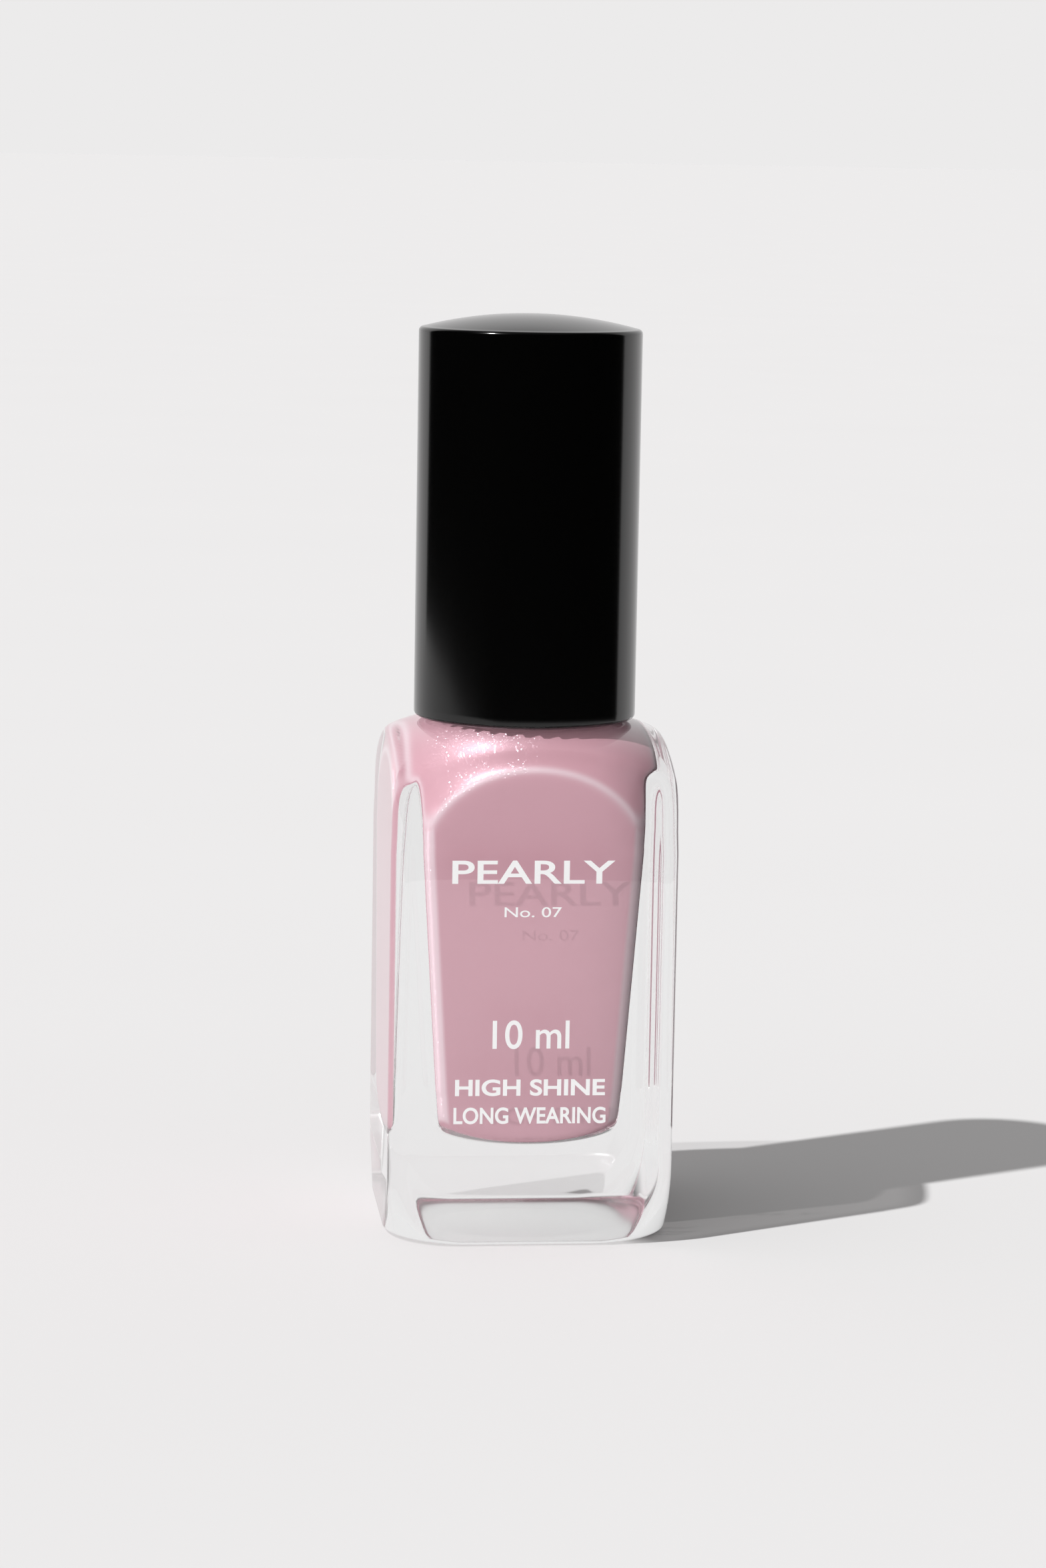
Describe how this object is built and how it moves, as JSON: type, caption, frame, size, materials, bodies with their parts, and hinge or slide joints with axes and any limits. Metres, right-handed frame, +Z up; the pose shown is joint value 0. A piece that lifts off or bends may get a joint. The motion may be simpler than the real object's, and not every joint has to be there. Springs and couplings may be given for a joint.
{
  "type": "nail polish bottle",
  "caption": "Square clear glass bottle of pearly pink nail lacquer with a tall round screw cap that carries the brush.",
  "frame": {"origin": "middle of the base, on the surface that the bottle stands on", "axes": "+Z up along the neck and the closure's axis, -Y out of the front face, +X to the right seen from the front"},
  "size_m": [0.0248, 0.0248, 0.0793],
  "materials": {
    "clear_glass": "polished",
    "pearl_lacquer": "pearl",
    "stainless_ball": "polished",
    "black_gloss": "gloss",
    "black_polypropylene": "satin",
    "stem_polyethylene": "satin",
    "staple_metal": "drawn",
    "nylon_bristle": "fibre"
  },
  "bodies": {
    "bottle": {"bottle": "clear_glass", "lacquer": "pearl_lacquer"},
    "brush": {"brush_stem": "stem_polyethylene", "tuft_staple": "staple_metal", "brush_tuft": "nylon_bristle"},
    "cap": {"overcap": "black_gloss", "inner_cap": "black_polypropylene"},
    "ball_1": {"mixing_ball_1": "stainless_ball"},
    "ball_2": {"mixing_ball_2": "stainless_ball"}
  },
  "joints": [
    {"name": "cap_turn", "type": "hinge", "parent": "brush", "child": "cap", "pos_m": [0, 0, 0.06], "axis": [0, 0, 1], "range_deg": [0, 9000]},
    {"name": "closure_lift", "type": "slide", "parent": "bottle", "child": "brush", "axis": [0, 0, 1], "range_m": [0, 0.053]},
    {"name": "ball_1_rise", "type": "slide", "parent": "bottle", "child": "ball_1", "axis": [0, 0, 1], "range_m": [0, 0.024]},
    {"name": "ball_2_rise", "type": "slide", "parent": "bottle", "child": "ball_2", "axis": [0, 0, 1], "range_m": [0, 0.024]}
  ],
  "couplings": [
    {"joint": "closure_lift", "follows": "cap_turn", "m_per_rad": 0.00033688}
  ]
}
